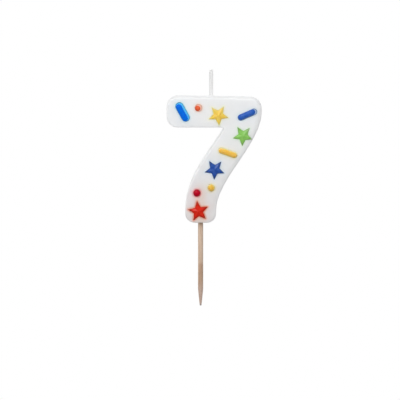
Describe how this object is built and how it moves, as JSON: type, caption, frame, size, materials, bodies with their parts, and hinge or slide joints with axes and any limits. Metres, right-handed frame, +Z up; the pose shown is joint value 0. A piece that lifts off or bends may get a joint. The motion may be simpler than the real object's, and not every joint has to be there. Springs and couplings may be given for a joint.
{
  "type": "number birthday candle",
  "caption": "Flat wax candle shaped like the digit seven, with coloured star, rod and dot decorations on its front, a wick on top and a wooden pick below.",
  "frame": {"origin": "on the pick's axis at the underside of the wax digit, where the wax meets the top of the cake", "axes": "+Z up along the pick and the wick, +X to the right as the digit is read, +Y from the decorated front face to the plain back"},
  "size_m": [0.0475, 0.0103, 0.1194],
  "materials": {
    "white_wax": "satin, slightly translucent",
    "waxed_cotton": "braided and waxed",
    "birch": "unfinished, fine grain",
    "azure_wax": "glossy",
    "dark_blue_wax": "glossy",
    "yellow_wax": "glossy",
    "green_wax": "glossy",
    "red_wax": "glossy",
    "orange_wax": "glossy",
    "crimson_wax": "glossy"
  },
  "bodies": {
    "root": {"wax_body": "white_wax", "wick": "waxed_cotton", "wood_pick": "birch", "star_yellow": "yellow_wax", "star_green": "green_wax", "star_blue": "dark_blue_wax", "star_red": "red_wax", "rod_azure": "azure_wax", "rod_dark_blue": "dark_blue_wax", "rod_yellow": "yellow_wax", "dot_orange": "orange_wax", "dot_yellow": "yellow_wax", "dot_crimson": "crimson_wax"}
  },
  "joints": []
}
